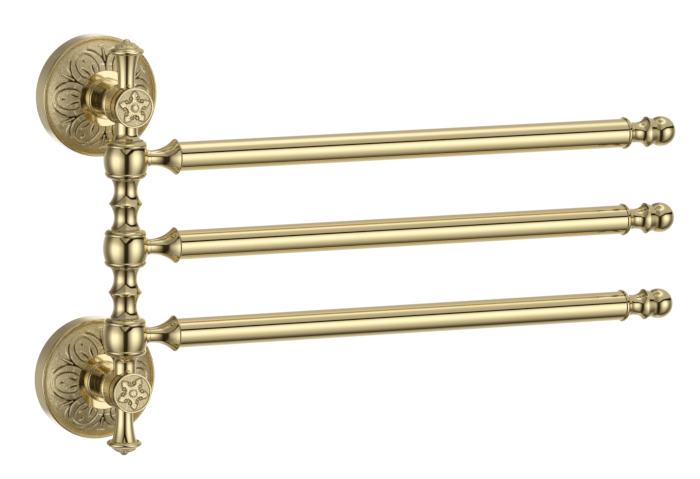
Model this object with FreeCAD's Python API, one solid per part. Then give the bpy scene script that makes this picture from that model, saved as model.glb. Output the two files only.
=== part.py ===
import FreeCAD, Part
import math
import os

from FreeCAD import Vector

# Swing arm towel bar: three towel arms that swing on one upright rod, held off the wall by two
# posts with round rosettes.  Millimetres.  X runs along the wall, +Y goes into the wall and +Z is
# up.  The origin lies on the wall, midway between the two rosettes.

# ---------------------------------------------------------------- driving sizes
# wall bracket: a shallow steel cup, screwed to the wall
BRACKET_THICKNESS = 2.0
BRACKET_FLANGE_HEIGHT = 7.2
BRACKET_FLANGE_WALL = 1.8
WALL_SCREW_SPACING = 36.0
WALL_SCREW_HOLE_DIA = 5.0

# rosette: heights are measured from the wall, and the carved ring stands in the sunk field
ROSETTE_DIA = 66.0
ROSETTE_RIM_HEIGHT = 11.6
ROSETTE_RIM_WALL = 3.9
ROSETTE_RIM_ROUND = 0.9
ROSETTE_BAND_STEP_IN = 1.9
ROSETTE_BAND_STEP_DOWN = 1.3
ROSETTE_BAND_BOW = 0.25
ROSETTE_DOME_BOW = 1.2
ROSETTE_FIELD_SINK = 0.6
ROSETTE_FIELD_LIP = 0.5
ROSETTE_LAND_DIA = 30.2
ROSETTE_LAND_RISE = 8.4
ROSETTE_LAND_STEP = 0.4
ROSETTE_DOME_THICKNESS = 4.6

# grub screw in the underside of the rosette rim
GRUB_DIA = 4.0
GRUB_HEIGHT = 4.0
GRUB_SOCKET_FLATS = 2.0
GRUB_SOCKET_DEPTH = 1.8
GRUB_SINK = 0.5

# bolt and spring washer that hold the post on the rosette from behind
POST_BOLT_DIA = 6.0
POST_BOLT_REACH = 13.0
POST_BOLT_HEAD_DIA = 10.5
POST_BOLT_HEAD_HEIGHT = 3.3
POST_BOLT_HEAD_TOP_DIA = 7.2
POST_BOLT_HEAD_BOW = 0.6
POST_BOLT_SOCKET_FLATS = 4.0
POST_BOLT_SOCKET_DEPTH = 2.0
POST_BOLT_WASHER_DIA = 12.0
POST_BOLT_WASHER_THICKNESS = 1.2

# post: two turned rings, a neck and the cross-bored head
ROD_STANDOFF = 48.5
POST_RINGS = (  # from the rosette outwards: width, diameter at the edges, diameter in the middle
    (1.4, 22.2, 22.7),
    (1.8, 21.2, 21.9),
)
POST_GROOVE_WIDTH = 0.3
POST_GROOVE_DIA = 19.6
NECK_DIA = 18.2
NECK_FLARE_DIA = 20.6
NECK_FLARE_LENGTH = 9.0
HEAD_DIA = 22.0
HEAD_BACK = 7.3
HEAD_FRONT = 11.9
HEAD_BACK_RING_WIDTH = 2.4
HEAD_BODY_DIA = 21.2
HEAD_GROOVE_WIDTH = 1.1
HEAD_GROOVE_DEPTH = 0.9
HEAD_RING_WIDTH = 4.4
HEAD_RIM_WIDTH = 2.0
HEAD_RIM_BACK_DIA = 20.8
HEAD_ROUND = 0.5
HEAD_SEAT_DROP = 2.0

# medallion pressed into the front of the head
MEDALLION_DIA = 20.2
MEDALLION_THICKNESS = 1.6
MEDALLION_SINK = 0.5
MEDALLION_PLATEAU_DIA = 8.6
MEDALLION_PLATEAU_RISE = 0.5
MEDALLION_BUTTON_DIA = 4.4
MEDALLION_BUTTON_RISE = 1.0

# main rod
ROD_DIA = 8.0
ROD_END_DIA = 6.0
ROD_END_LENGTH = 13.5
ROD_SHOULDER_DROP = 2.0

# barrels and what sits between them on the rod
BARREL_HEIGHT = 20.6
BARREL_BELLY_DIA = 24.5
BARREL_NOTCH_DIA = 22.1
BARREL_BEAD_DIA = 22.7
BARREL_BEAD_HEIGHT = 3.4
BARREL_BEAD_CREST = 1.4
BARREL_BEAD_BOW = 0.55
BARREL_NOTCH_BOW = 0.25
BARREL_END_DIA = 16.8
WASHER_DIA = 15.0
WASHER_THICKNESS = 0.5
SPACER_LENGTH = 26.5
SPACER_RIDGE_DIA = 18.1
SPACER_RIDGE_ROUND = 0.1
SPACER_RIDGE_WIDTH = 0.7
SPACER_WAIST_DIA = 12.7
SPACER_END_DIA = 16.2
SPACER_END_FLARE = 5.6
SLEEVE_LENGTH = 9.45
SLEEVE_DIA = 12.2
SLEEVE_END_DIA = 16.0
SLEEVE_END_FLARE = 4.2
BUSH_WALL = 1.15

# finials on the rod ends
FINIAL_STEM_DIA = 9.3
FINIAL_MOUTH_DIA = 13.4
FINIAL_STRAIGHT = 4.5
FINIAL_FLARE = 14.3
FINIAL_RING_DIA = 19.2
FINIAL_RING_FOOT_DIA = 15.2
FINIAL_RING_UNDER = 1.2
FINIAL_RING_UNDER_BOW = 0.4
FINIAL_RING_EDGE = 0.6
FINIAL_SHOULDER_DIA = 14.0
FINIAL_SHOULDER_HEIGHT = 1.7
FINIAL_SHOULDER_BOW = 0.3
CAP_DIA = 13.4
CAP_EDGE = 0.5
CAP_DOME_RISE = 1.9
CAP_DOME_BOW = 0.35
CAP_BUTTON_DIA = 4.6
CAP_BUTTON_RISE = 2.2
CAP_SPIGOT_DIA = 5.0
CAP_SPIGOT_LENGTH = 3.5

# trumpet: small collar, slim stem and a flare that takes the towel tube
COLLAR_DIA = 9.4
COLLAR_SINK = 1.1
COLLAR_WIDTH = 2.2
STEM_DIA = 8.4
STEM_STRAIGHT = 1.3
TRUMPET_FLARE = 13.4
TRUMPET_MOUTH_DIA = 18.8
TRUMPET_RIM_DIA = 19.5
TRUMPET_RIM_RISE = 0.6
TRUMPET_RIM_FALL = 0.8
TRUMPET_RIM_BOW = 0.05
TRUMPET_FALL_BOW = 0.15
TRUMPET_LIP = 0.3
TRUMPET_LIP_WALL = 0.55
COLLAR_ROUND = 0.55
TRUMPET_SOCKET_DEPTH = 2.5
TRUMPET_SPIGOT_LENGTH = 5.2
TRUMPET_SPIGOT_DIA = 6.0
TUBE_SPIGOT_LENGTH = 9.0

# towel tube, its plug and the finial at its end
TUBE_DIA = 16.0
TUBE_WALL = 1.0
TUBE_LENGTH = 269.1
PLUG_LENGTH = 12.0
END_COLLAR_DIA = 17.6
END_COLLAR_BACK_DIA = 16.6
END_COLLAR_WIDTH = 1.5
END_COLLAR_BOW = 0.15
END_COLLAR_TAPER = 6.0
END_NECK_DIA = 11.1
END_NECK_LENGTH = 0.3
BELL_START_DIA = 11.3
BELL_FLARE = 5.6
BELL_RIM_DIA = 16.8
BELL_RIM_WIDTH = 0.6
BELL_RIM_BOW = 0.1
BELL_FALL = 3.2
BELL_EDGE_DIA = 14.5
BALL_WAIST_WIDTH = 0.5
BALL_WAIST_DIA = 13.7
BALL_DIA = 16.7
END_STUD_DIA = 6.0

# clearances
THRUST_GAP = 0.05
RUNNING_GAP = 0.05
SLIP_GAP = 0.10

# ---------------------------------------------------------------- places that follow
BRACKET_DIA = ROSETTE_DIA - 2 * ROSETTE_RIM_WALL - 2 * SLIP_GAP
WASHER_STACK = THRUST_GAP + WASHER_THICKNESS
BARREL_PITCH = BARREL_HEIGHT + 2 * WASHER_STACK + SPACER_LENGTH
SLEEVE_START = BARREL_PITCH + BARREL_HEIGHT / 2 + WASHER_STACK
HEAD_SEAT = HEAD_DIA / 2 - HEAD_SEAT_DROP
HEAD_HEIGHT = SLEEVE_START + SLEEVE_LENGTH + HEAD_SEAT
FINIAL_START = HEAD_HEIGHT + HEAD_SEAT
CAP_SEAT = (FINIAL_STRAIGHT + FINIAL_FLARE + FINIAL_RING_UNDER + FINIAL_RING_EDGE
            + FINIAL_SHOULDER_HEIGHT)
LAND_HEIGHT = ROSETTE_RIM_HEIGHT + ROSETTE_LAND_RISE
FACE_HEIGHT = ROD_STANDOFF + HEAD_FRONT
MEDALLION_BACK = FACE_HEIGHT - MEDALLION_SINK - MEDALLION_THICKNESS
COLLAR_START = BARREL_BELLY_DIA / 2 - COLLAR_SINK
STEM_START = COLLAR_START + COLLAR_WIDTH
MOUTH_START = STEM_START + STEM_STRAIGHT + TRUMPET_FLARE
TRUMPET_END = MOUTH_START + TRUMPET_RIM_RISE + TRUMPET_RIM_FALL + TRUMPET_LIP
TUBE_START = TRUMPET_END - TRUMPET_SOCKET_DEPTH
TUBE_END = TUBE_START + TUBE_LENGTH
TUBE_BORE_DIA = TUBE_DIA - 2 * TUBE_WALL
ROD_BORE_DIA = ROD_DIA + 2 * RUNNING_GAP
BUSH_DIA = ROD_BORE_DIA + 2 * BUSH_WALL
BOLT_SEAT = LAND_HEIGHT - ROSETTE_DOME_THICKNESS
BOLT_HOLE_DIA = POST_BOLT_DIA + 2 * SLIP_GAP

ALONG_ARM = Vector(1, 0, 0)
OFF_WALL = Vector(0, -1, 0)
UP = Vector(0, 0, 1)


# ---------------------------------------------------------------- turning tools
class Profile:
    """Half outline of a turned piece, drawn by distance along its axis and by diameter."""

    def __init__(self, along, dia):
        self.start = Vector(along, dia / 2, 0)
        self.here = self.start
        self.edges = []

    def line(self, along, dia):
        there = Vector(along, dia / 2, 0)
        if there.distanceToPoint(self.here) > 1e-6:
            self.edges.append(Part.LineSegment(self.here, there).toShape())
            self.here = there
        return self

    def through(self, middle, there):
        self.edges.append(Part.Arc(self.here, middle, there).toShape())
        self.here = there
        return self

    def bow(self, along, dia, rise):
        """Arc that stands `rise` off its chord, to the left of the way it is drawn."""
        there = Vector(along, dia / 2, 0)
        chord = there - self.here
        left = Vector(-chord.y, chord.x, 0).normalize()
        return self.through((self.here + there) * 0.5 + left * rise, there)

    def corner(self, along, dia):
        """Quarter round."""
        chord = self.here.distanceToPoint(Vector(along, dia / 2, 0))
        return self.bow(along, dia, chord * math.tan(math.radians(22.5)) / 2)

    def swell(self, along, dia, widest_dia):
        """Arc that reaches `widest_dia` halfway."""
        middle = Vector((self.here.x + along) / 2, widest_dia / 2, 0)
        return self.through(middle, Vector(along, dia / 2, 0))

    def crown(self, along):
        """Arc that meets the axis squarely at `along`."""
        there = Vector(along, 0, 0)
        run, half_dia = along - self.here.x, self.here.y
        radius = (run * run + half_dia * half_dia) / (2 * run)
        half = math.asin(half_dia / radius) / 2
        middle = there + Vector(radius * (math.cos(half) - 1), radius * math.sin(half), 0)
        return self.through(middle, there)

    def cove(self, along, dia, level_first):
        """Hollow arc that runs level with the axis at one end: its first one or its last one."""
        there = Vector(along, dia / 2, 0)
        level, steep = (self.here, there) if level_first else (there, self.here)
        run, rise = steep.x - level.x, steep.y - level.y
        radius = (run * run + rise * rise) / (2 * rise)
        half = math.atan2(abs(run), radius - rise) / 2
        side = math.copysign(1, run)
        middle = level + Vector(side * radius * math.sin(half), radius * (1 - math.cos(half)), 0)
        return self.through(middle, there)

    def turned(self):
        self.line(self.start.x, 2 * self.start.y)
        face = Part.Face(Part.Wire(self.edges))
        return face.revolve(Vector(0, 0, 0), ALONG_ARM, 360)


def stood(shape, direction, foot):
    """A piece turned along +X, put with its axis along `direction` from `foot`."""
    shape = shape.copy()
    shape.Placement = FreeCAD.Placement(foot, FreeCAD.Rotation(ALONG_ARM, direction))
    return shape


def rod_between(foot, direction, dia, length):
    return Part.makeCylinder(dia / 2, length, foot, direction)


def hex_prism(foot, direction, flats, length):
    corner = flats / math.sqrt(3)
    points = [Vector(0, corner * math.cos(math.radians(60 * k)), corner * math.sin(math.radians(60 * k)))
              for k in range(7)]
    prism = Part.Face(Part.makePolygon(points)).extrude(Vector(length, 0, 0))
    return stood(prism, direction, foot)


def mirrored(shape):
    return shape.mirror(Vector(0, 0, 0), UP)


def save(name, shape):
    if not shape.isValid():
        raise ValueError(name + " isn't a valid solid")
    shape.exportStep("parts/" + name + ".step")


# ---------------------------------------------------------------- wall end of each post
def wall_bracket(height):
    cup = (Profile(0, 0)
           .line(0, BRACKET_DIA)
           .line(BRACKET_FLANGE_HEIGHT, BRACKET_DIA)
           .line(BRACKET_FLANGE_HEIGHT, BRACKET_DIA - 2 * BRACKET_FLANGE_WALL)
           .line(BRACKET_THICKNESS, BRACKET_DIA - 2 * BRACKET_FLANGE_WALL)
           .line(BRACKET_THICKNESS, 0)
           .turned())
    cup = stood(cup, OFF_WALL, Vector(0, 0, height))
    for side in (-1, 1):
        foot = Vector(side * WALL_SCREW_SPACING / 2, 0, height)
        cup = cup.cut(rod_between(foot, OFF_WALL, WALL_SCREW_HOLE_DIA, BRACKET_THICKNESS))
    return cup


def rosette(height):
    band_dia = ROSETTE_DIA - 2 * ROSETTE_BAND_STEP_IN
    band_height = ROSETTE_RIM_HEIGHT - ROSETTE_BAND_STEP_DOWN
    field_dia = band_dia - 2 * ROSETTE_FIELD_LIP
    crest_dia = ROSETTE_DIA - 2 * ROSETTE_RIM_ROUND
    bore_dia = ROSETTE_DIA - 2 * ROSETTE_RIM_WALL
    shell = (Profile(0, bore_dia)
             .line(0, ROSETTE_DIA)
             .line(ROSETTE_RIM_HEIGHT - ROSETTE_RIM_ROUND, ROSETTE_DIA)
             .corner(ROSETTE_RIM_HEIGHT, crest_dia)
             .bow(band_height, band_dia, ROSETTE_BAND_BOW)
             .line(band_height - ROSETTE_FIELD_SINK, field_dia)
             .bow(LAND_HEIGHT - ROSETTE_LAND_STEP - ROSETTE_FIELD_SINK, ROSETTE_LAND_DIA,
                  ROSETTE_DOME_BOW)
             .line(LAND_HEIGHT, ROSETTE_LAND_DIA)
             .line(LAND_HEIGHT, BOLT_HOLE_DIA)
             .line(BOLT_SEAT, BOLT_HOLE_DIA)
             .line(BOLT_SEAT, ROSETTE_LAND_DIA)
             .line(BRACKET_FLANGE_HEIGHT + ROSETTE_RIM_ROUND, bore_dia)
             .turned())
    shell = stood(shell, OFF_WALL, Vector(0, 0, height))
    hole = rod_between(Vector(0, -GRUB_HEIGHT, height), -UP, GRUB_DIA, ROSETTE_DIA)
    return shell.cut(hole)


def rosette_set_screw(height):
    length = ROSETTE_RIM_WALL + SLIP_GAP - GRUB_SINK
    foot = Vector(0, -GRUB_HEIGHT, height - BRACKET_DIA / 2)
    body = rod_between(foot, -UP, GRUB_DIA, length)
    socket_foot = foot - UP * (length - GRUB_SOCKET_DEPTH)
    return body.cut(hex_prism(socket_foot, -UP, GRUB_SOCKET_FLATS, GRUB_SOCKET_DEPTH))


def post_bolt_washer(height):
    ring = (Profile(0, BOLT_HOLE_DIA)
            .line(0, POST_BOLT_WASHER_DIA)
            .line(POST_BOLT_WASHER_THICKNESS, POST_BOLT_WASHER_DIA)
            .line(POST_BOLT_WASHER_THICKNESS, BOLT_HOLE_DIA)
            .turned())
    return stood(ring, OFF_WALL, Vector(0, POST_BOLT_WASHER_THICKNESS - BOLT_SEAT, height))


def post_bolt(height):
    head_front = BOLT_SEAT - POST_BOLT_WASHER_THICKNESS
    head_back = head_front - POST_BOLT_HEAD_HEIGHT
    tip = LAND_HEIGHT + POST_BOLT_REACH
    bolt = (Profile(head_back, 0)
            .line(head_back, POST_BOLT_HEAD_TOP_DIA)
            .bow(head_front, POST_BOLT_HEAD_DIA, POST_BOLT_HEAD_BOW)
            .line(head_front, POST_BOLT_DIA)
            .line(tip, POST_BOLT_DIA)
            .line(tip, 0)
            .turned())
    bolt = stood(bolt, OFF_WALL, Vector(0, 0, height))
    foot = Vector(0, -head_back, height)
    return bolt.cut(hex_prism(foot, OFF_WALL, POST_BOLT_SOCKET_FLATS, POST_BOLT_SOCKET_DEPTH))


# ---------------------------------------------------------------- posts
def post():
    """The upper post.  The lower one is its mirror image."""
    head_start = ROD_STANDOFF - HEAD_BACK
    body_start = head_start + HEAD_BACK_RING_WIDTH
    rim_start = FACE_HEIGHT - HEAD_RIM_WIDTH
    ring_end = rim_start - HEAD_GROOVE_WIDTH
    ring_start = ring_end - HEAD_RING_WIDTH
    body_end = ring_start - HEAD_GROOVE_WIDTH
    groove_dia = HEAD_BODY_DIA - 2 * HEAD_GROOVE_DEPTH
    round_dia = HEAD_DIA - 2 * HEAD_ROUND
    outline = Profile(LAND_HEIGHT, 0)
    foot = LAND_HEIGHT
    for width, edge_dia, middle_dia in POST_RINGS:
        outline.line(foot, edge_dia).swell(foot + width, edge_dia, middle_dia)
        outline.line(foot + width, POST_GROOVE_DIA)
        foot += width + POST_GROOVE_WIDTH
        outline.line(foot, POST_GROOVE_DIA)
    turned = (outline
               .line(foot, NECK_DIA)
               .line(head_start - NECK_FLARE_LENGTH, NECK_DIA)
               .cove(head_start, NECK_FLARE_DIA, True)
               .line(head_start, round_dia)
               .corner(head_start + HEAD_ROUND, HEAD_DIA)
               .line(body_start - HEAD_ROUND, HEAD_DIA)
               .line(body_start, HEAD_BODY_DIA)
               .line(body_end, HEAD_BODY_DIA)
               .line(body_end, groove_dia)
               .line(ring_start, groove_dia)
               .line(ring_start, HEAD_BODY_DIA)
               .line(ring_end, HEAD_BODY_DIA)
               .line(ring_end, groove_dia)
               .line(rim_start, groove_dia)
               .line(rim_start, HEAD_RIM_BACK_DIA)
               .line(FACE_HEIGHT - HEAD_ROUND, HEAD_DIA)
               .corner(FACE_HEIGHT, round_dia)
               .line(FACE_HEIGHT, MEDALLION_DIA)
               .line(MEDALLION_BACK, MEDALLION_DIA)
               .line(MEDALLION_BACK, 0)
               .turned())
    turned = stood(turned, OFF_WALL, Vector(0, 0, HEAD_HEIGHT))
    centre = Vector(0, -ROD_STANDOFF, HEAD_HEIGHT)
    bores = [rod_between(Vector(0, -LAND_HEIGHT, HEAD_HEIGHT), OFF_WALL, POST_BOLT_DIA,
                         POST_BOLT_REACH + SLIP_GAP),
             rod_between(centre - UP * HEAD_DIA, UP, ROD_BORE_DIA, 2 * HEAD_DIA),
             rod_between(centre + UP * HEAD_SEAT, UP, FINIAL_STEM_DIA + 2 * SLIP_GAP, HEAD_DIA),
             rod_between(centre - UP * HEAD_SEAT, -UP, SLEEVE_DIA + 2 * SLIP_GAP, HEAD_DIA)]
    for bore in bores:
        turned = turned.cut(bore)
    return turned


def medallion():
    face = FACE_HEIGHT - MEDALLION_SINK
    plateau = face + MEDALLION_PLATEAU_RISE
    disc = (Profile(MEDALLION_BACK, 0)
            .line(MEDALLION_BACK, MEDALLION_DIA)
            .line(face, MEDALLION_DIA)
            .line(face, MEDALLION_PLATEAU_DIA)
            .line(plateau, MEDALLION_PLATEAU_DIA - MEDALLION_PLATEAU_RISE)
            .line(plateau, MEDALLION_BUTTON_DIA)
            .crown(face + MEDALLION_BUTTON_RISE)
            .turned())
    return stood(disc, OFF_WALL, Vector(0, 0, HEAD_HEIGHT))


# ---------------------------------------------------------------- column
def on_rod(shape, height):
    return stood(shape, UP, Vector(0, -ROD_STANDOFF, height))


def main_rod():
    shoulder = FINIAL_START - ROD_SHOULDER_DROP
    tip = FINIAL_START + ROD_END_LENGTH
    rod = (Profile(-tip, 0)
           .line(-tip, ROD_END_DIA)
           .line(-shoulder, ROD_END_DIA)
           .line(-shoulder, ROD_DIA)
           .line(shoulder, ROD_DIA)
           .line(shoulder, ROD_END_DIA)
           .line(tip, ROD_END_DIA)
           .line(tip, 0)
           .turned())
    return on_rod(rod, 0)


def thrust_washers(height):
    ring = (Profile(0, ROD_BORE_DIA)
            .line(0, WASHER_DIA)
            .line(WASHER_THICKNESS, WASHER_DIA)
            .line(WASHER_THICKNESS, ROD_BORE_DIA)
            .turned())
    above = height + BARREL_HEIGHT / 2 + THRUST_GAP
    below = height - BARREL_HEIGHT / 2 - WASHER_STACK
    return Part.makeCompound([on_rod(ring, above), on_rod(ring, below)])


def spacer(height):
    half = SPACER_LENGTH / 2
    ridge = SPACER_RIDGE_WIDTH / 2
    waist = half - SPACER_END_FLARE
    reel = (Profile(-half, ROD_BORE_DIA)
            .line(-half, SPACER_END_DIA)
            .cove(-waist, SPACER_WAIST_DIA, False)
            .cove(-ridge, SPACER_RIDGE_DIA, True)
            .bow(ridge, SPACER_RIDGE_DIA, SPACER_RIDGE_ROUND)
            .cove(waist, SPACER_WAIST_DIA, False)
            .cove(half, SPACER_END_DIA, True)
            .line(half, ROD_BORE_DIA)
            .turned())
    return on_rod(reel, height)


def sleeve():
    """The upper short sleeve.  The lower one is its mirror image."""
    tube = (Profile(0, ROD_BORE_DIA)
            .line(0, SLEEVE_END_DIA)
            .cove(SLEEVE_END_FLARE, SLEEVE_DIA, False)
            .line(SLEEVE_LENGTH, SLEEVE_DIA)
            .line(SLEEVE_LENGTH, ROD_BORE_DIA)
            .turned())
    return on_rod(tube, SLEEVE_START)


def finial():
    """The upper finial.  The lower one is its mirror image."""
    flare_end = FINIAL_STRAIGHT + FINIAL_FLARE
    ring_start = flare_end + FINIAL_RING_UNDER
    ring_end = ring_start + FINIAL_RING_EDGE
    stem = (Profile(0, 0)
            .line(0, FINIAL_STEM_DIA)
            .line(FINIAL_STRAIGHT, FINIAL_STEM_DIA)
            .cove(flare_end, FINIAL_MOUTH_DIA, True)
            .line(flare_end, FINIAL_RING_FOOT_DIA)
            .bow(ring_start, FINIAL_RING_DIA, FINIAL_RING_UNDER_BOW)
            .line(ring_end, FINIAL_RING_DIA)
            .bow(CAP_SEAT, FINIAL_SHOULDER_DIA, FINIAL_SHOULDER_BOW)
            .line(CAP_SEAT, CAP_SPIGOT_DIA)
            .line(CAP_SEAT - CAP_SPIGOT_LENGTH, CAP_SPIGOT_DIA)
            .line(CAP_SEAT - CAP_SPIGOT_LENGTH, 0)
            .turned())
    bore = Part.makeCylinder(ROD_END_DIA / 2, ROD_END_LENGTH, Vector(0, 0, 0), ALONG_ARM)
    return on_rod(stem.cut(bore), FINIAL_START)


def finial_cap():
    """The upper cap.  The lower one is its mirror image."""
    dome = CAP_SEAT + CAP_EDGE
    crown = dome + CAP_DOME_RISE
    cap = (Profile(CAP_SEAT - CAP_SPIGOT_LENGTH, 0)
           .line(CAP_SEAT - CAP_SPIGOT_LENGTH, CAP_SPIGOT_DIA)
           .line(CAP_SEAT, CAP_SPIGOT_DIA)
           .line(CAP_SEAT, CAP_DIA)
           .line(dome, CAP_DIA)
           .bow(crown, CAP_BUTTON_DIA, CAP_DOME_BOW)
           .crown(crown + CAP_BUTTON_RISE)
           .turned())
    return on_rod(cap, FINIAL_START)


# ---------------------------------------------------------------- swinging arms
def barrel(height):
    half = BARREL_HEIGHT / 2
    notch = half - BARREL_BEAD_HEIGHT
    bead = notch + BARREL_BEAD_CREST
    body = (Profile(-half, BUSH_DIA)
            .line(-half, BARREL_END_DIA)
            .bow(-bead, BARREL_BEAD_DIA, BARREL_BEAD_BOW)
            .bow(-notch, BARREL_NOTCH_DIA, BARREL_NOTCH_BOW)
            .swell(notch, BARREL_NOTCH_DIA, BARREL_BELLY_DIA)
            .bow(bead, BARREL_BEAD_DIA, BARREL_NOTCH_BOW)
            .bow(half, BARREL_END_DIA, BARREL_BEAD_BOW)
            .line(half, BUSH_DIA)
            .turned())
    body = on_rod(body, height)
    axis_point = Vector(0, -ROD_STANDOFF, height)
    seat = rod_between(axis_point + ALONG_ARM * COLLAR_START, ALONG_ARM, COLLAR_DIA + 2 * SLIP_GAP,
                       BARREL_BELLY_DIA)
    thread = rod_between(axis_point, ALONG_ARM, TRUMPET_SPIGOT_DIA, BARREL_BELLY_DIA)
    return body.cut(seat).cut(thread)


def barrel_bush(height):
    half = BARREL_HEIGHT / 2
    tube = (Profile(-half, ROD_BORE_DIA)
            .line(-half, BUSH_DIA)
            .line(half, BUSH_DIA)
            .line(half, ROD_BORE_DIA)
            .turned())
    return on_rod(tube, height)


def on_arm(shape, height):
    return stood(shape, ALONG_ARM, Vector(0, -ROD_STANDOFF, height))


def trumpet(height):
    flare_start = STEM_START + STEM_STRAIGHT
    rim_crest = MOUTH_START + TRUMPET_RIM_RISE
    rim_end = rim_crest + TRUMPET_RIM_FALL
    lip_dia = TUBE_DIA + 2 * TRUMPET_LIP_WALL
    spigot_end = TUBE_START + TUBE_SPIGOT_LENGTH
    spigot_dia = TUBE_BORE_DIA - 2 * SLIP_GAP
    horn = (Profile(COLLAR_START - TRUMPET_SPIGOT_LENGTH, 0)
            .line(COLLAR_START - TRUMPET_SPIGOT_LENGTH, TRUMPET_SPIGOT_DIA)
            .line(COLLAR_START, TRUMPET_SPIGOT_DIA)
            .line(COLLAR_START, COLLAR_DIA)
            .line(STEM_START - COLLAR_ROUND, COLLAR_DIA)
            .line(STEM_START, STEM_DIA)
            .line(flare_start, STEM_DIA)
            .cove(MOUTH_START, TRUMPET_MOUTH_DIA, True)
            .bow(rim_crest, TRUMPET_RIM_DIA, TRUMPET_RIM_BOW)
            .bow(rim_end, lip_dia, TRUMPET_FALL_BOW)
            .line(TRUMPET_END, lip_dia)
            .line(TRUMPET_END, TUBE_DIA + 2 * SLIP_GAP)
            .line(TUBE_START, TUBE_DIA + 2 * SLIP_GAP)
            .line(TUBE_START, spigot_dia)
            .line(spigot_end, spigot_dia)
            .line(spigot_end, 0)
            .turned())
    return on_arm(horn, height)


def arm_tube(height):
    tube = (Profile(TUBE_START, TUBE_BORE_DIA)
            .line(TUBE_START, TUBE_DIA)
            .line(TUBE_END, TUBE_DIA)
            .line(TUBE_END, TUBE_BORE_DIA)
            .turned())
    return on_arm(tube, height)


def tube_plug(height):
    plug = (Profile(TUBE_END - PLUG_LENGTH, END_STUD_DIA)
            .line(TUBE_END - PLUG_LENGTH, TUBE_BORE_DIA)
            .line(TUBE_END, TUBE_BORE_DIA)
            .line(TUBE_END, END_STUD_DIA)
            .turned())
    return on_arm(plug, height)


def end_collar(height):
    ring_end = TUBE_END + END_COLLAR_WIDTH
    ring = (Profile(TUBE_END, END_STUD_DIA)
            .line(TUBE_END, END_COLLAR_DIA)
            .bow(ring_end, END_COLLAR_BACK_DIA, END_COLLAR_BOW)
            .cove(ring_end + END_COLLAR_TAPER, END_NECK_DIA, False)
            .line(ring_end + END_COLLAR_TAPER, END_STUD_DIA)
            .turned())
    return on_arm(ring, height)


def end_finial(height):
    neck_start = TUBE_END + END_COLLAR_WIDTH + END_COLLAR_TAPER
    bell_start = neck_start + END_NECK_LENGTH
    rim_start = bell_start + BELL_FLARE
    rim_end = rim_start + BELL_RIM_WIDTH
    edge = rim_end + BELL_FALL
    waist_reach = math.sqrt(BALL_DIA ** 2 - BALL_WAIST_DIA ** 2) / 2
    ball_centre = edge + BALL_WAIST_WIDTH + waist_reach
    ball_middle = Vector(ball_centre, BALL_DIA / 2, 0)
    ball_end = Vector(ball_centre + BALL_DIA / 2, 0, 0)
    stud_start = TUBE_END - PLUG_LENGTH + RUNNING_GAP
    turned = (Profile(stud_start, 0)
              .line(stud_start, END_STUD_DIA)
              .line(neck_start, END_STUD_DIA)
              .line(neck_start, END_NECK_DIA)
              .line(bell_start, END_NECK_DIA)
              .line(bell_start, BELL_START_DIA)
              .cove(rim_start, BELL_RIM_DIA, True)
              .bow(rim_end, BELL_RIM_DIA, BELL_RIM_BOW)
              .line(edge, BELL_EDGE_DIA)
              .line(edge + BALL_WAIST_WIDTH, BALL_WAIST_DIA)
              .through(ball_middle, ball_end)
              .turned())
    return on_arm(turned, height)


# ---------------------------------------------------------------- assembly
os.makedirs("parts", exist_ok=True)

for end, side in (("upper", 1), ("lower", -1)):
    place = side * HEAD_HEIGHT
    save("wall_bracket_" + end, wall_bracket(place))
    save("rosette_" + end, rosette(place))
    save("rosette_set_screw_" + end, rosette_set_screw(place))
    save("post_bolt_" + end, post_bolt(place))
    save("post_bolt_washer_" + end, post_bolt_washer(place))
    save("spacer_" + end, spacer(side * BARREL_PITCH / 2))

for name, build in (("post", post), ("medallion", medallion), ("sleeve", sleeve),
                    ("finial", finial), ("finial_cap", finial_cap)):
    upper = build()
    save(name + "_upper", upper)
    save(name + "_lower", mirrored(upper))

save("main_rod", main_rod())

for level, place in (("upper", BARREL_PITCH), ("middle", 0), ("lower", -BARREL_PITCH)):
    save("thrust_washers_" + level, thrust_washers(place))
    save("barrel_" + level, barrel(place))
    save("barrel_bush_" + level, barrel_bush(place))
    save("trumpet_" + level, trumpet(place))
    save("arm_tube_" + level, arm_tube(place))
    save("tube_plug_" + level, tube_plug(place))
    save("end_collar_" + level, end_collar(place))
    save("end_finial_" + level, end_finial(place))
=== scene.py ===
import math

import bpy
import numpy as np
from mathutils import Matrix, Vector


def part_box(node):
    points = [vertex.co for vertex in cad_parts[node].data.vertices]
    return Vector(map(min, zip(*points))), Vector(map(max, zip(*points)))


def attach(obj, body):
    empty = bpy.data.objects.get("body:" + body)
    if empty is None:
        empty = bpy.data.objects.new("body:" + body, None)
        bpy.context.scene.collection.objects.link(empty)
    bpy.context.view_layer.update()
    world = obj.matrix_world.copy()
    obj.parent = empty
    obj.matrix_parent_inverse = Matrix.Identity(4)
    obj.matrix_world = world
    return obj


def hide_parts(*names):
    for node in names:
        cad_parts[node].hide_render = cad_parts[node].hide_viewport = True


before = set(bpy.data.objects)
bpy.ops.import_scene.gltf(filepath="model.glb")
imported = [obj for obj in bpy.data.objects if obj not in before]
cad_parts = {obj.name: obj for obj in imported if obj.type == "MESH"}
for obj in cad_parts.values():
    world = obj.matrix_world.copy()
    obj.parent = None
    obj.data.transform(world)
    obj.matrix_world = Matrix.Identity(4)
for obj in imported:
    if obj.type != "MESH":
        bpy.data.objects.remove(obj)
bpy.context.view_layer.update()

# ---------------------------------------------------------------- wall brackets
# Two shallow cups pressed from sheet steel and zinc plated.  Each is screwed to the wall through
# two holes and hidden by its rosette, so it shows only from behind.


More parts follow.
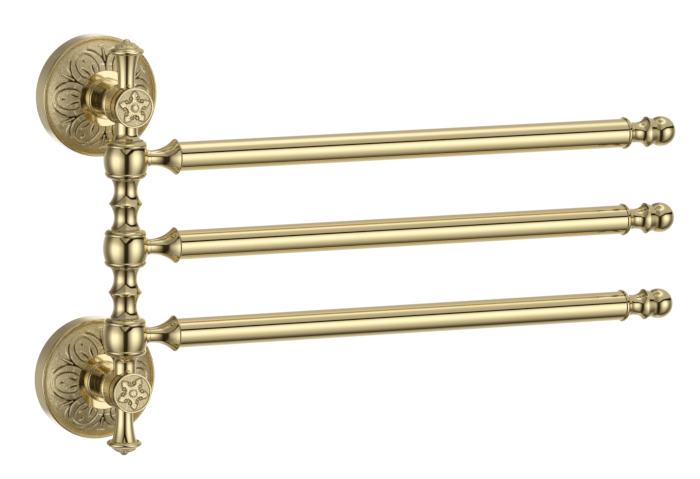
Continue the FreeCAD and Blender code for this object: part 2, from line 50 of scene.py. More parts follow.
class Flow:
    """An output of a node tree.  Sums on it add Math nodes, and node() adds any other node."""

    def __init__(self, tree, socket=None):
        self.tree = tree
        self.socket = socket

    def node(self, kind, settings, inputs, output=0):
        """Adds a node: its settings are made first, then its sockets get values or links."""
        made = self.tree.nodes.new(kind)
        for name, setting in settings.items():
            if name == "stops":
                ramp = made.color_ramp
                while len(ramp.elements) < len(setting):
                    ramp.elements.new(0.5)
                for stop, (place, shade) in zip(ramp.elements, setting):
                    stop.position = place
                    stop.color = (*shade, 1) if isinstance(shade, tuple) else (shade,) * 3 + (1,)
            else:
                setattr(made, name, setting)
        for name, value in inputs.items():
            if isinstance(value, Flow):
                self.tree.links.new(value.socket, made.inputs[name])
            elif isinstance(value, tuple) and len(value) == 3 and made.inputs[name].type == "RGBA":
                made.inputs[name].default_value = (*value, 1)
            else:
                made.inputs[name].default_value = value
        return Flow(self.tree, made.outputs[output]) if made.outputs else None

    def maths(self, operation, *values):
        return self.node("ShaderNodeMath", {"operation": operation}, dict(enumerate(values)))

    def __add__(self, other):
        return self.maths("ADD", self, other)

    def __sub__(self, other):
        return self.maths("SUBTRACT", self, other)

    def __rsub__(self, other):
        return self.maths("SUBTRACT", other, self)

    def __mul__(self, other):
        return self.maths("MULTIPLY", self, other)

    def __truediv__(self, other):
        return self.maths("DIVIDE", self, other)

    __radd__ = __add__
    __rmul__ = __mul__

    def blend(self, low, high):
        """Colour that runs from low to high as this value runs from 0 to 1."""
        return self.node("ShaderNodeMix", {"data_type": "RGBA"}, {0: self, 6: low, 7: high}, 2)

    def noise(self, scale, detail=2.0):
        return self.node("ShaderNodeTexNoise", {}, {"Vector": self, "Scale": scale, "Detail": detail})

    def bump(self, strength, depth):
        return self.node("ShaderNodeBump", {},
                         {"Height": self, "Strength": strength, "Distance": depth})

    def spread(self, low, high, to_low=0.0, to_high=1.0, kind="LINEAR"):
        """Runs from to_low to to_high as this value runs from low to high, and stays there."""
        return self.node("ShaderNodeMapRange", {"interpolation_type": kind},
                         {"Value": self, "From Min": low, "From Max": high,
                          "To Min": to_low, "To Max": to_high})

    def ramp(self, *stops):
        return self.node("ShaderNodeValToRGB", {"stops": stops}, {"Fac": self})


def new_finish(name):
    """A material with an empty node tree, and the place on the piece in metres."""
    material = bpy.data.materials.new(name)
    material.use_nodes = True
    material.node_tree.nodes.clear()
    place = Flow(material.node_tree).node("ShaderNodeTexCoord", {}, {}, "Object")
    return material, place


def surface(place, **inputs):
    """Ends a material with one surface shader."""
    named = {name.replace("_", " "): value for name, value in inputs.items()}
    shader = place.node("ShaderNodeBsdfPrincipled", {}, named)
    place.node("ShaderNodeOutputMaterial", {}, {"Surface": shader})


def dress(material, *nodes):
    """Gives the material to CAD pieces."""
    for node in nodes:
        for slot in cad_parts[node].material_slots:
            slot.material = material


ENDS = ("upper", "lower")

zinc, place = new_finish("zinc_plate")
spangle = place.node("ShaderNodeTexVoronoi", {}, {"Vector": place, "Scale": 260.0}, "Color")
cloud = place.noise(90.0, 4.0)
surface(place,
        Base_Color=(cloud * 0.5 + spangle * 0.25).blend((0.50, 0.52, 0.54), (0.74, 0.75, 0.76)),
        Metallic=1.0,
        Roughness=cloud * 0.25 + 0.22,
        Normal=place.noise(1800.0).bump(0.25, 0.0002))
dress(zinc, *["wall_bracket_" + end for end in ENDS])

# ---------------------------------------------------------------- screws, bolts and main rod
# Hardened steel screws with hexagon sockets hold each post from behind and each rosette from
# below; the rod that everything is threaded on is bright drawn steel.

steel, place = new_finish("bright_steel")
draw_lines = place.node("ShaderNodeMapping", {}, {"Vector": place, "Scale": (900.0, 900.0, 30.0)})
surface(place,
        Base_Color=place.noise(150.0, 3.0).blend((0.44, 0.44, 0.45), (0.60, 0.60, 0.60)),
        Metallic=1.0,
        Roughness=place.noise(400.0, 3.0) * 0.2 + 0.18,
        Normal=draw_lines.noise(1.0, 3.0).bump(0.2, 0.0001))
dress(steel, "main_rod", *[piece + end for end in ENDS
                           for piece in ("rosette_set_screw_", "post_bolt_", "post_bolt_washer_")])

# ---------------------------------------------------------------- bushes and washers
# Natural nylon: a bush pressed into each barrel and a thin washer above and below it, so that
# the arms turn quietly on the rod.

nylon, place = new_finish("natural_nylon")
surface(place,
        Base_Color=place.noise(120.0, 3.0).blend((0.76, 0.73, 0.65), (0.84, 0.82, 0.75)),
        Roughness=place.noise(700.0) * 0.15 + 0.38,
        Normal=place.noise(2500.0).bump(0.2, 0.0001))
LEVELS = ("upper", "middle", "lower")
dress(nylon, *[piece + level for level in LEVELS for piece in ("barrel_bush_", "thrust_washers_")])

# ---------------------------------------------------------------- turned brass
# Barrels, spacers, sleeves, trumpets, plugs, collars and finials are turned from brass bar,
# buffed to a mirror and lacquered a pale champagne gold.

BRASS = (0.83, 0.71, 0.43)
DEEP_BRASS = (0.79, 0.66, 0.37)


def polished_brass(name, stretch, roughness):
    """Buffed brass with faint marks that are drawn out by `stretch`."""
    material, place = new_finish(name)
    # here only a faint random tone in the brass, with no painted shade
    tone_and_painted_shade = place.noise(55.0, 3.0)
    haze = place.noise(210.0, 4.0)
    marks = place.node("ShaderNodeMapping", {}, {"Vector": place, "Scale": stretch})
    surface(place,
            Base_Color=(tone_and_painted_shade * 0.6).blend(BRASS, DEEP_BRASS),
            Metallic=1.0,
            Roughness=haze * 0.04 + roughness,
            Normal=marks.noise(1.0, 3.0).bump(0.02, 0.0001),
            Coat_Weight=0.25,
            Coat_Roughness=0.04)
    return material


turned_brass = polished_brass("turned_brass", (700.0, 700.0, 700.0), 0.02)
dress(turned_brass, *[piece + end for end in ENDS for piece in ("sleeve_", "spacer_", "finial_")])
dress(turned_brass, *[piece + level for level in LEVELS
                      for piece in ("barrel_", "trumpet_", "tube_plug_", "end_collar_",
                                    "end_finial_")])

# ---------------------------------------------------------------- posts
# Turned from brass bar too, but the wheel hardly reaches between their rings, so they keep a
# softer shine than the column.

soft_brass = polished_brass("soft_brass", (700.0, 60.0, 700.0), 0.12)
dress(soft_brass, *["post_" + end for end in ENDS])

# ---------------------------------------------------------------- towel tubes
# Thin drawn brass tube, polished along its length before it was lacquered.  Each tube slips
# over a spigot on its trumpet and holds a threaded plug, for the ball's stem, in its far end.

drawn_brass = polished_brass("drawn_brass", (25.0, 900.0, 900.0), 0.02)
dress(drawn_brass, *["arm_tube_" + level for level in LEVELS])

# ---------------------------------------------------------------- rosettes
# Brass castings.  The rim and the flat land in the middle are buffed; between them six palmettes
# stand on a sunk field that was blasted matt.  The carving is one ring, cast with the rosette.

buffed_brass = polished_brass("buffed_brass", (300.0, 300.0, 300.0), 0.07)
dress(buffed_brass, *["rosette_" + end for end in ENDS])

# the field's outer and inner edge: how far from the rosette's middle and how far off the wall
FIELD_EDGE = (31.1, 10.3)
FIELD_MIDDLE = (15.1, 19.6)
FIELD_BOW = 1.2

PALMETTES = 6
HALF_PALMETTE = math.pi / PALMETTES
CARVING_ROOT = 1.0
CARVING_ROWS = 88
CARVING_COLUMNS = 720
DEEPEST = 0.6
EDGE_WIDTH = 0.4

# lines of half a palmette: across from its axis and outwards from the middle of the rosette
LEAF_EDGE = [(6.6, 12.0), (8.0, 14.4), (8.9, 16.6), (9.3, 18.5), (9.3, 20.3), (8.8, 22.6),
             (7.6, 24.6), (5.4, 26.8), (3.2, 28.1), (0, 28.7)]
PANEL_EDGE = [(2.6, 12.0), (3.6, 14.3), (4.9, 16.2), (5.6, 18), (5.8, 20), (5.6, 21.8),
              (4.9, 23.8), (3.1, 25.8), (0, 26.6)]
RIDGE = [(4.7, 24.0), (4.2, 25.8), (2.5, 27.6), (0, 28.2)]
BLADE = [(5.5, 27.1), (6.3, 27.75), (7.4, 27.4), (8.9, 25.9), (9.8, 24.0), (9.9, 22.0),
         (9.55, 20.8), (9.3, 22.2), (8.2, 24.8), (5.5, 27.1)]
BLADE_CUT = [(5.0, 27.1), (6.6, 25.8), (8.1, 23.9), (9.0, 21.8)]
LEAF_CUT = [(9.5, 18.0), (9.75, 20.0), (9.55, 21.4), (9.2, 22.8), (8.6, 24.0)]
TIE = [(9.0, 16.3), (5.9, 17.7)]
HOOK = [(0.75, 15.0), (0.95, 16.6), (1.35, 18.2), (2.1, 19.7), (3.2, 20.9)]
HOOK_CUT = [(1.35, 15.4), (1.6, 16.6), (1.9, 18.0), (2.7, 19.4)]
HOOK_PEARL = 0.6
LOBE = (3.75, 18.3)
LOBE_RADIUS = 1.5
LOBE_RIM = [(5.0, 18.4), (4.7, 17.2), (3.8, 16.5), (2.8, 16.9)]
DROP = (0, 24.7)
DROP_RADIUS = 0.62

# how far out the deep ground, the cut beside the stem, the stem and the bar on its end reach
GROUND_END = 22.2
STEM_CUT = (21.5, 27.0)
STEM = (20.2, 28.0)
STEM_HALF = 0.45
BAR_HALF = (2.9, 0.85)


def smooth_line(points, steps=8):
    """A smooth line through the points."""
    p = np.array([points[0], *points, points[-1]], float)
    t = np.linspace(0, 1, steps, endpoint=False)[:, None]
    runs = [0.5 * (2 * b + (c - a) * t + (2 * a - 5 * b + 4 * c - d) * t ** 2
                   + (3 * b - a - 3 * c + d) * t ** 3)
            for a, b, c, d in zip(p, p[1:], p[2:], p[3:])]
    return np.vstack([*runs, p[-1:]])


def to_line(x, y, line):
    """Distance to the line, and how far along it the nearest point lies, from 0 to 1."""
    lengths = np.linalg.norm(np.diff(line, axis=0), axis=1)
    nearest, along, passed = np.full(x.shape, np.inf), np.zeros(x.shape), 0.0
    for (ax, ay), (bx, by), length in zip(line, line[1:], lengths):
        if length:
            t = np.clip(((x - ax) * (bx - ax) + (y - ay) * (by - ay)) / length ** 2, 0, 1)
            away = np.hypot(x - ax - t * (bx - ax), y - ay - t * (by - ay))
            along = np.where(away < nearest, (passed + t * length) / lengths.sum(), along)
            nearest = np.minimum(away, nearest)
            passed += length
    return nearest, along


def depth_inside(x, y, loop):
    """How far a place lies inside a closed line; less than zero outside it."""
    odd = np.zeros(x.shape, bool)
    for (ax, ay), (bx, by) in zip(loop, np.roll(loop, -1, axis=0)):
        if ay != by:
            odd ^= ((y < ay) != (y < by)) & (x < ax + (y - ay) * (bx - ax) / (by - ay))
    away, _ = to_line(x, y, np.vstack([loop, loop[:1]]))
    return np.where(odd, away, -away)


def depth_inside_pair(x, y, half):
    """The same for an outline that is given by its right half."""
    line = smooth_line(half)
    return depth_inside(x, y, np.vstack([line, line[::-1] * (-1, 1)]))


def wall(depth, width):
    """0 outside an edge and 1 inside it, with a rounded slope of this width."""
    t = np.clip(depth / width + 0.5, 0, 1)
    return t * t * (3 - 2 * t)


def bead(away, half_width):
    """Round-topped stroke: 1 on its line, 0 from half_width on."""
    return np.sqrt(np.clip(1 - (away / half_width) ** 2, 0, 1))


def lay(under, level, cover):
    """Brings what lies under a cover to another level."""
    return under + (level - under) * cover


def stroke(x, y, points, half_width, *fade):
    """A bead along a line; fade is pairs of how far along it and how strong it is there."""
    away, along = to_line(x, y, smooth_line(points))
    return bead(away, half_width) * (np.interp(along, *zip(*fade)) if fade else 1)


def pearl(x, y, centre, radius):
    """A round bead on one spot."""
    return bead(np.hypot(x - centre[0], y - centre[1]), radius)


def ground(x, y, stem_x, stem_y):
    """Deep ground between two palmettes; it branches along each leaf and beside the stem."""
    relief = -DEEPEST * wall(np.minimum(GROUND_END - stem_y, 1.0), 0.7)
    away, along = to_line(x, y, smooth_line(LEAF_CUT))
    relief = lay(relief, np.minimum(relief, 0.3 * along - DEEPEST),
                 wall(0.64 - 0.42 * along - away, EDGE_WIDTH))
    first, last = STEM_CUT
    run = np.clip((stem_y - first) / (last - first), 0, 1)
    cover = wall(1.15 - 0.5 * run - stem_x, EDGE_WIDTH) * wall(last + 0.3 - stem_y, EDGE_WIDTH)
    cover = cover * (stem_y > first - 0.5)
    return lay(relief, np.minimum(relief, 0.3 * run - 0.55), cover)


def with_leaf(relief, x, y):
    """The leaf with a ridge near its tip, a panel set in a groove and a tie across its foot."""
    leaf, panel = depth_inside_pair(x, y, LEAF_EDGE), depth_inside_pair(x, y, PANEL_EDGE)
    crown = 0.24 + 0.16 * np.sin(np.clip(leaf / 1.5, 0, 1) * math.pi / 2)
    relief = lay(relief, crown, wall(leaf, 0.42))
    relief = relief + 0.15 * stroke(x, y, RIDGE, 0.42, (0, 0.2), (0.3, 1))
    relief = lay(relief, 0.12, wall(panel, 0.5))
    strength = np.interp(y, [14, 16.5, 24.0, 26.6], [0.6, 1.0, 1.0, 0.45])
    relief = relief - 0.62 * stroke(x, y, PANEL_EDGE, 0.46) * strength
    return relief + 0.2 * stroke(x, y, TIE, 0.34)


def with_blade(relief, x, y):
    """The blade beside the leaf, and the cut between the two."""
    blade = depth_inside(x, y, smooth_line(BLADE))
    relief = lay(relief, 0.22 + 0.28 * np.clip(blade / 0.9, 0, 1), wall(blade, EDGE_WIDTH))
    return relief - 0.5 * stroke(x, y, BLADE_CUT, 0.36, (0, 0.4), (0.15, 1))


def with_drop(relief, x, y):
    """A pearl with a pointed recess under it."""
    point = np.interp(y, [22.1, 23.4, 24.0, 24.3], [0.0, 0.5, 0.45, 0.0])
    relief = relief - 0.5 * wall(point - np.abs(x), 0.35) * (point > 0)
    return relief + 0.42 * pearl(x, y, DROP, DROP_RADIUS)


def with_hook(relief, x, y):
    """A hook, cut deep on its outer side, with a pearl at the end."""
    relief = relief - 0.6 * stroke(x, y, HOOK_CUT, 0.5, (0, 0.5), (0.3, 1), (0.7, 1), (1, 0.4))
    relief = relief + 0.36 * stroke(x, y, HOOK, 0.42)
    return relief + 0.25 * pearl(x, y, HOOK[-1], HOOK_PEARL)


def with_lobe(relief, x, y):
    """A lobe with a raised lower rim."""
    away = np.hypot(x - LOBE[0], (y - LOBE[1]) / 1.15)
    relief = relief - 0.16 * bead(np.abs(away - LOBE_RADIUS), 0.3)
    return relief + 0.38 * stroke(x, y, LOBE_RIM, 0.46, (0, 0.1), (0.3, 1), (0.8, 1), (1, 0.4))


def with_stem(relief, x, y):
    """The stem between two palmettes, and the leaf-shaped bar across its end."""
    first, last = STEM
    stem = bead(x, STEM_HALF) * np.sqrt(np.clip((y - first) / 0.4, 0, 1)) * (y < last)
    relief = np.where(stem > 0, np.maximum(relief, 0.45 * stem), relief)
    reach, thick = BAR_HALF
    bar = thick * (1 - (x / reach) ** 2) - np.abs(y - last + 0.035 * x ** 2)
    return lay(relief, 0.25 + 0.22 * np.clip(bar / 0.6, 0, 1), wall(bar, EDGE_WIDTH))


def palmette(r, turn):
    """Height of the carving above its field; turn goes from a palmette's axis to its edge."""
    x, y = r * np.sin(turn), r * np.cos(turn)
    stem_x, stem_y = r * np.sin(HALF_PALMETTE - turn), r * np.cos(HALF_PALMETTE - turn)
    relief = ground(x, y, stem_x, stem_y)
    for carved in (with_leaf, with_blade, with_drop, with_hook, with_lobe):
        relief = carved(relief, x, y)
    return np.clip(with_stem(relief, stem_x, stem_y), -DEEPEST, DEEPEST)


def casting(name, radius, along, heights, centre, axis, loop):
    """A closed piece made of rings round an axis; a ring of no radius becomes one point.
    Rows and columns give every point's radius, place along the axis and height of relief, in
    millimetres, and a loop's last ring joins its first.  It is fixed to the stand."""
    rows, columns = radius.shape
    upward = axis.cross(ALONG_WALL)
    turns = np.arange(columns) * (2 * math.pi / columns)
    points, numbers, reliefs = [], [], []
    for r, a, h in zip(radius, along, heights):
        count = 1 if r.max() < 1e-6 else columns
        numbers.append([len(points) + (j if count > 1 else 0) for j in range(columns)])
        spots = (np.outer(r[:count] * np.cos(turns[:count]), ALONG_WALL)
                 + np.outer(r[:count] * np.sin(turns[:count]), upward)
                 + np.outer(a[:count], axis)) * 0.001 + np.array(centre) * 0.001
        points += spots.tolist()
        reliefs += h[:count].tolist()
    faces = []
    for i in range(rows if loop else rows - 1):
        here, beyond = numbers[i], numbers[(i + 1) % rows]
        for j in range(columns):
            k = (j + 1) % columns
            face = (here[j], here[k], beyond[k], beyond[j])
            faces.append(tuple(dict.fromkeys(face)))
    mesh = bpy.data.meshes.new(name)
    mesh.from_pydata(points, [], faces)
    mesh.attributes.new("height", "FLOAT", "POINT").data.foreach_set("value", reliefs)
    mesh.materials.append(cast_brass)
    mesh.shade_smooth()
    mesh.set_sharp_from_angle(angle=math.radians(60))
    piece = bpy.data.objects.new(name, mesh)
    bpy.context.scene.collection.objects.link(piece)
    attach(piece, "stand")
    return piece


def box(node):
    """Lowest and highest corner of a CAD piece, in millimetres."""
    return [corner * 1000 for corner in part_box(node)]


OFF_WALL = Vector((0, -1, 0))
ALONG_WALL = Vector((1, 0, 0))
UP = Vector((0, 0, 1))

cast_brass, place = new_finish("cast_brass")
height = place.node("ShaderNodeAttribute", {"attribute_name": "height"}, {}, "Fac")
shade = height.spread(-DEEPEST, DEEPEST)
# painted shade: the lower the relief lies, the darker its colour, down to near black in the deepest
# recesses, while the raised parts are palest brass
tone_and_painted_shade = shade.ramp((0.0, (0.07, 0.045, 0.02)), (0.22, (0.24, 0.17, 0.08)),
                  (0.38, (0.72, 0.59, 0.35)), (0.48, (0.90, 0.76, 0.47)),
                  (1.0, (0.93, 0.79, 0.50)))
grain = place.noise(1500.0, 3.0)
surface(place,
        Base_Color=tone_and_painted_shade.node("ShaderNodeVectorMath", {"operation": "SCALE"},
                             {0: tone_and_painted_shade, "Scale": grain.spread(0.35, 0.65, 0.82, 1.16)}),
        Metallic=1.0,
        Roughness=shade.spread(0.55, 0.9, 0.42, 0.22) + grain * 0.06,
        Normal=grain.bump(0.8, 0.0003),
        Coat_Weight=0.25,
        Coat_Roughness=0.12)

span = np.linspace(0, 1, CARVING_ROWS)[:, None]
edge, middle = np.array(FIELD_EDGE), np.array(FIELD_MIDDLE)
chord = middle - edge
lean = np.array((chord[1], -chord[0])) / np.hypot(*chord)
field = edge + chord * span + lean * FIELD_BOW * 4 * span * (1 - span)
# half a palmette is worked out, then mirrored and repeated round the ring
half = CARVING_COLUMNS // (2 * PALMETTES)
folded = np.arange(CARVING_COLUMNS) % (2 * half)
folded = np.minimum(folded, 2 * half - folded)
r, turn = np.meshgrid(field[:, 0], np.arange(half + 1) * (HALF_PALMETTE / half), indexing="ij")
carving = palmette(r, turn)[:, folded]
root = np.array([middle, edge]) - lean * CARVING_ROOT
ring = np.ones((1, CARVING_COLUMNS))
radius = np.vstack([field[:, :1] + lean[0] * carving] + [ring * r for r, a in root])
along = np.vstack([field[:, 1:] + lean[1] * carving] + [ring * a for r, a in root])
heights = np.vstack([carving, 0 * ring, 0 * ring])
MIDDLES = {}
for end in ENDS:
    low, high = box("wall_bracket_" + end)
    MIDDLES[end] = Vector((0, 0, (low.z + high.z) / 2))
    casting("rosette_carving_" + end, radius, along, heights, MIDDLES[end], OFF_WALL, True)

# ---------------------------------------------------------------- medallions
# A cast disc in the front of each post's head: a domed button on a small boss, from which five
# pointed petals open, with two pearls between each pair.  The ground is matt, the rim polished.

PETAL = [(1.3, 2.5), (1.5, 4.3), (1.75, 5.3), (1.85, 6.1), (1.7, 6.9), (1.2, 7.7), (0.6, 8.4),
         (0, 9.0)]
PETAL_PITCH = 2 * math.pi / 5
PETAL_HEIGHT = 0.65
BOSS_RADIUS = 3.8
PEARL = (2.0, 5.2)
PEARL_RADIUS = 0.75
PEARL_SOCKET = -0.25


def flower(r, turn):
    """Height of a five-petalled flower above its ground; one petal points to turn 0."""
    turn = np.abs((turn + PETAL_PITCH / 2) % PETAL_PITCH - PETAL_PITCH / 2)
    x, y = r * np.sin(turn), r * np.cos(turn)
    body = np.maximum(depth_inside_pair(x, y, PETAL), BOSS_RADIUS - r)
    relief = -0.2 * bead(body + 0.25, 0.45)
    relief = lay(relief, PETAL_HEIGHT - 0.1 * np.clip(body / 1.5, 0, 1), wall(body, 0.3))
    away = np.hypot(x - PEARL[0], y - PEARL[1])
    relief = lay(relief, PEARL_SOCKET, wall(PEARL_RADIUS + 0.35 - away, 0.25))
    return np.where(away < PEARL_RADIUS, 0.8 * bead(away, PEARL_RADIUS) - 0.05, relief)


low, high = box("medallion_upper")
DISC_BACK = -high.y
DISC_THICKNESS = 1.6
DISC_RADIUS = (high.x - low.x) / 2
DISC_COLUMNS = 360
BUTTON_RADIUS = 2.0
BUTTON_HEIGHT = 0.6
PETAL_POINTS = {"upper": 91, "lower": 60}

turns = np.arange(DISC_COLUMNS) * (2 * math.pi / DISC_COLUMNS)
ring = np.ones((1, DISC_COLUMNS))
rows = np.concatenate([np.linspace(DISC_RADIUS, BUTTON_RADIUS + 0.5, 64),
                       BUTTON_RADIUS * np.sin(np.linspace(math.pi / 2, 0, 12))])[:, None]
button = BUTTON_HEIGHT * np.sqrt(np.clip(1 - (rows / BUTTON_RADIUS) ** 4, 0, 1))
button_groove = 0.7 * bead(rows - BUTTON_RADIUS - 0.25, 0.35)
edge_groove = 0.12 * bead(rows - DISC_RADIUS + 0.2, 0.25)
for end in ENDS:
    carving = flower(rows, turns[None, :] - math.radians(PETAL_POINTS[end]))
    carving = carving + button - button_groove - edge_groove
    radius = np.vstack([0 * ring, DISC_RADIUS * ring, rows * ring])
    face = DISC_BACK + DISC_THICKNESS + carving
    along = np.vstack([DISC_BACK * ring, DISC_BACK * ring, face])
    # these heights set cast_brass's painted recess shade and its roughness, scaled and lowered a
    # little from the carving
    heights = np.vstack([0 * ring, 0 * ring, carving * 0.9 - 0.04])
    piece = casting("medallion_flower_" + end, radius, along, heights, MIDDLES[end], OFF_WALL,
                    False)
    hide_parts("medallion_" + end)

# ---------------------------------------------------------------- finial caps
# Cast caps plugged into the ends of the finials: the medallions' flower again, smaller, on a
# low cone with a round button.

low, high = box("finial_cap_upper")
CAP_FOOT, CAP_TOP = low.z, high.z
CAP_SEAT = box("finial_upper")[1].z
CAP_LIP, CONE_HEIGHT = 0.5, 1.9
CAP_EDGE = CAP_SEAT + CAP_LIP
CAP_SHOULDER = CAP_EDGE + CONE_HEIGHT
CAP_RADIUS = (high.y - low.y) / 2
ROD = Vector((0, (high.y + low.y) / 2, 0))
CAP_BUTTON, PLUG_RADIUS = 2.3, 2.5
FLOWER_SIZE, FLOWER_HEIGHT = 0.68, 0.75
UPRIGHT_SHARE = 0.92
CAP_PETAL_POINTS = {"upper": -60, "lower": 100}

rows = np.linspace(CAP_RADIUS, CAP_BUTTON, 44)[:, None]
rise = (CAP_RADIUS - rows) / (CAP_RADIUS - CAP_BUTTON)
cone = CAP_EDGE + CONE_HEIGHT * (rise + 0.5 * rise * (1 - rise))
quarter = np.linspace(0, math.pi / 2, 12)[:, None]
foot = [(0, CAP_FOOT), (PLUG_RADIUS, CAP_FOOT), (PLUG_RADIUS, CAP_SEAT), (CAP_RADIUS, CAP_SEAT)]
for end, axis in zip(ENDS, (UP, -UP)):
    petal_turn = turns[None, :] - math.radians(CAP_PETAL_POINTS[end])
    carving = FLOWER_HEIGHT * flower(rows / FLOWER_SIZE, petal_turn)
    carving = carving * wall(CAP_RADIUS - 0.3 - rows, 0.5)
    radius = np.vstack([ring * r for r, a in foot] + [rows * ring]
                       + [CAP_BUTTON * np.cos(quarter) * ring])
    along = np.vstack([ring * a for r, a in foot] + [cone + carving * UPRIGHT_SHARE]
                      + [CAP_SHOULDER + (CAP_TOP - CAP_SHOULDER) * np.sin(quarter) * ring])
    heights = np.vstack([ring * 0.3] * len(foot) + [carving] + [ring * 0.45] * len(quarter))
    piece = casting("finial_flower_" + end, radius, along, heights, ROD, axis, False)
    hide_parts("finial_cap_" + end)

# ---------------------------------------------------------------- studio
# A pale paper floor well below the bar, and a light tent round it: two wide soft lights beside
# the camera, one overhead past a dark seam, a white sheet behind and a dark gap for the camera.

VIEW_TURN = math.radians(23.81)
VIEW_LIFT = math.radians(8.89)
VIEW_ROLL = math.radians(0.59)
VIEW_DISTANCE = 4.5
AIM = Vector((0.13573, -0.040, -0.00390))
LENS = 424.22

forward = Vector((math.sin(VIEW_TURN) * math.cos(VIEW_LIFT),
                  math.cos(VIEW_TURN) * math.cos(VIEW_LIFT), -math.sin(VIEW_LIFT)))
level_right = Vector((math.cos(VIEW_TURN), -math.sin(VIEW_TURN), 0))
level_up = level_right.cross(forward)
right = level_right * math.cos(VIEW_ROLL) + level_up * math.sin(VIEW_ROLL)
up = right.cross(forward)
camera = bpy.data.objects.new("camera", bpy.data.cameras.new("camera"))
camera.data.lens = LENS
camera.data.sensor_width = 36
camera.data.clip_end = 60
camera.matrix_world = (Matrix.Translation(AIM - forward * VIEW_DISTANCE)
                       @ Matrix((right, up, -forward)).transposed().to_4x4())
bpy.context.scene.collection.objects.link(camera)
bpy.context.scene.camera = camera

FLOOR_HEIGHT = -0.45
FLOOR_HALF = 20.0
FLOOR_GLOW = 0.88
floor_mesh = bpy.data.meshes.new("floor")
floor_mesh.from_pydata([(x * FLOOR_HALF, y * FLOOR_HALF, FLOOR_HEIGHT)
                        for x, y in ((-1, -1), (1, -1), (1, 1), (-1, 1))], [], [(0, 1, 2, 3)])
floor = bpy.data.objects.new("floor", floor_mesh)
bpy.context.scene.collection.objects.link(floor)
floor.visible_glossy = False
paper, place = new_finish("white_paper")
seen = place.node("ShaderNodeLightPath", {}, {}, "Is Camera Ray")
lit = place.node("ShaderNodeBsdfDiffuse", {}, {"Color": (0.9, 0.9, 0.9)})
glow = place.node("ShaderNodeEmission", {}, {"Color": (1.0, 1.0, 1.0), "Strength": 1.1})
mixed = place.node("ShaderNodeMixShader", {}, {0: seen * FLOOR_GLOW, 1: lit, 2: glow})
place.node("ShaderNodeOutputMaterial", {}, {"Surface": mixed})
floor_mesh.materials.append(paper)

world = bpy.data.worlds.new("light_tent")
bpy.context.scene.world = world
world.use_nodes = True
world.node_tree.nodes.clear()
direction = Flow(world.node_tree).node("ShaderNodeTexCoord", {}, {}, "Generated")


def toward(axis):
    """How far the direction points along an axis, from -1 to 1."""
    return direction.node("ShaderNodeVectorMath", {"operation": "DOT_PRODUCT"},
                          {0: direction, 1: tuple(axis)}, "Value")


def step(value, low, high):
    """0 up to low, 1 from high on, and smooth between."""
    return value.spread(low, high, kind="SMOOTHSTEP")


def by_angle(angle, low, high, *pairs):
    """A value that follows an angle between low and high: pairs of degrees and value."""
    return ((angle - low) / (high - low)).ramp(*[((degrees - low) / (high - low), value)
                                                 for degrees, value in pairs])


# degrees to the right of the camera and above the level, as the object sees them
toward_camera = Vector((-math.sin(VIEW_TURN), -math.cos(VIEW_TURN), 0))
turn = direction.maths("ARCTAN2", toward(level_right), toward(toward_camera)) * (180 / math.pi)
lift = direction.maths("ARCSINE", toward(UP)) * (180 / math.pi)
to_right = step(turn, -6, 20)

# brightness round the tent at the level of the bar, and how it falls off up and down
BRIGHTEST = 1.46
DIMMEST = 0.02
horizon = by_angle(turn, -180, 180,
                   (-180, 0.71), (-155, 0.43), (-145, 0.44), (-125, 0.26), (-105, 0.15),
                   (-95, 0.18), (-85, 0.30), (-75, 0.57), (-65, 0.90), (-45, 0.98),
                   (-35, 0.86), (-25, 0.62), (-15, 0.43), (-8, 0.25), (-4, 0.05), (0, 0.01),
                   (14, 0.01), (18, 0.12), (25, 0.33), (35, 0.62), (45, 0.92), (55, 0.97),
                   (65, 0.93), (75, 0.71), (85, 0.47), (95, 0.24), (105, 0.15), (115, 0.18),
                   (125, 0.29), (140, 0.43), (155, 0.57), (180, 0.71))
band_left = by_angle(lift, -90, 90,
                     (-90, 0.02), (-74, 0.12), (-62, 0.20), (-47, 0.33), (-37, 0.42),
                     (-27, 0.65), (-17, 0.87), (-7, 1.0), (0, 1.0), (7, 0.78), (12, 0.60),
                     (17, 0.48), (27, 0.36), (37, 0.28), (90, 0.2))
band_right = by_angle(lift, -90, 90,
                      (-90, 0.02), (-74, 0.09), (-60, 0.18), (-52, 0.27), (-44, 0.37),
                      (-36, 0.44), (-28, 0.57), (-20, 0.73), (-12, 0.88), (-4, 1.0), (6, 1.0),
                      (12, 0.88), (20, 0.68), (30, 0.5), (90, 0.3))
band = band_left + to_right * (band_right - band_left)
OVERHEAD_GAIN = 0.95
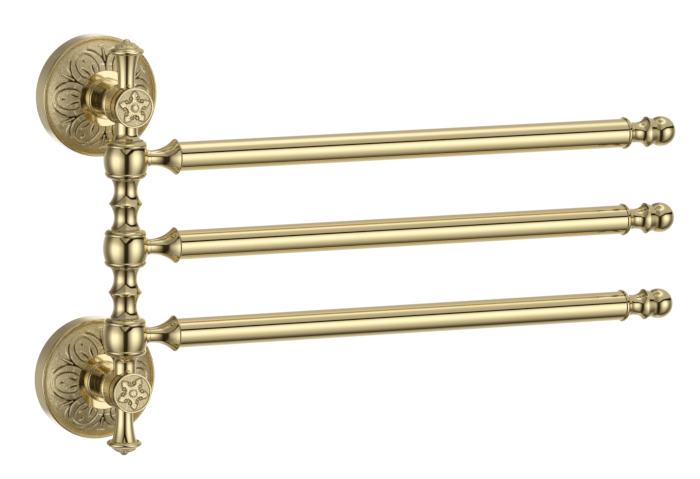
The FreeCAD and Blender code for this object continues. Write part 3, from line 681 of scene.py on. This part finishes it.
overhead = by_angle(lift, -90, 90,
                    (0, 0.19), (44, 0.19), (57, 0.22), (61, 0.32), (66, 0.46), (71, 0.42),
                    (78, 0.22), (90, 0.15)) * (to_right * OVERHEAD_GAIN + 1)

# the seam's height in degrees; it is wider on the right and closed behind the object
SEAM_HALF = 3.2
SEAM_WIDER = 3.5
seam = by_angle(turn, -180, 180,
                (-95, 0.52), (-60, 0.44), (-35, 0.345), (-15, 0.235), (4, 0.14), (22, 0.22),
                (50, 0.32), (72, 0.29), (98, 0.22), (126, 0.11)) * 90
above = lift - seam
clear = step(above.maths("ABSOLUTE", above) - to_right * SEAM_WIDER, SEAM_HALF * 0.4, SEAM_HALF)
clear = clear + (step(turn, -85, -105) + step(turn, 125, 145)) * (1 - clear)
over_seam = above.maths("GREATER_THAN", above, 0.0)

# a sheet low down behind the object fills in what the side lights leave dark
SHEET_BELOW = 0.7
sheet_below = step(turn.maths("ABSOLUTE", turn), 106, 122) * step(lift, -10, -40)
sides = horizon * (band + sheet_below * (SHEET_BELOW - band))
light = (sides + over_seam * (overhead - sides)) * clear * BRIGHTEST + DIMMEST
tint = (light / BRIGHTEST).ramp((0.0, (1.0, 0.76, 0.46)), (0.2, (1.0, 0.94, 0.80)),
                                (0.45, (1.0, 0.98, 0.89)), (0.8, (0.99, 1.0, 0.98)),
                                (1.0, (0.97, 1.0, 1.0)))
tent = light.node("ShaderNodeBackground", {}, {"Color": tint, "Strength": light})

# the camera sees plain white, and so does what mirrors the side straight behind the object
sheet = light.node("ShaderNodeBackground", {}, {"Color": (1.0, 1.0, 1.0), "Strength": 1.0})
from_camera, mirrored, through = [light.node("ShaderNodeLightPath", {}, {}, "Is %s Ray" % kind)
                                  for kind in ("Camera", "Glossy", "Transmission")]
white = from_camera + (mirrored + through) * step(toward(forward), 0.86, 0.95)
whole = light.node("ShaderNodeMixShader", {}, {0: white, 1: tent, 2: sheet})
light.node("ShaderNodeOutputWorld", {}, {"Surface": whole})

bpy.context.scene.view_settings.view_transform = "Standard"
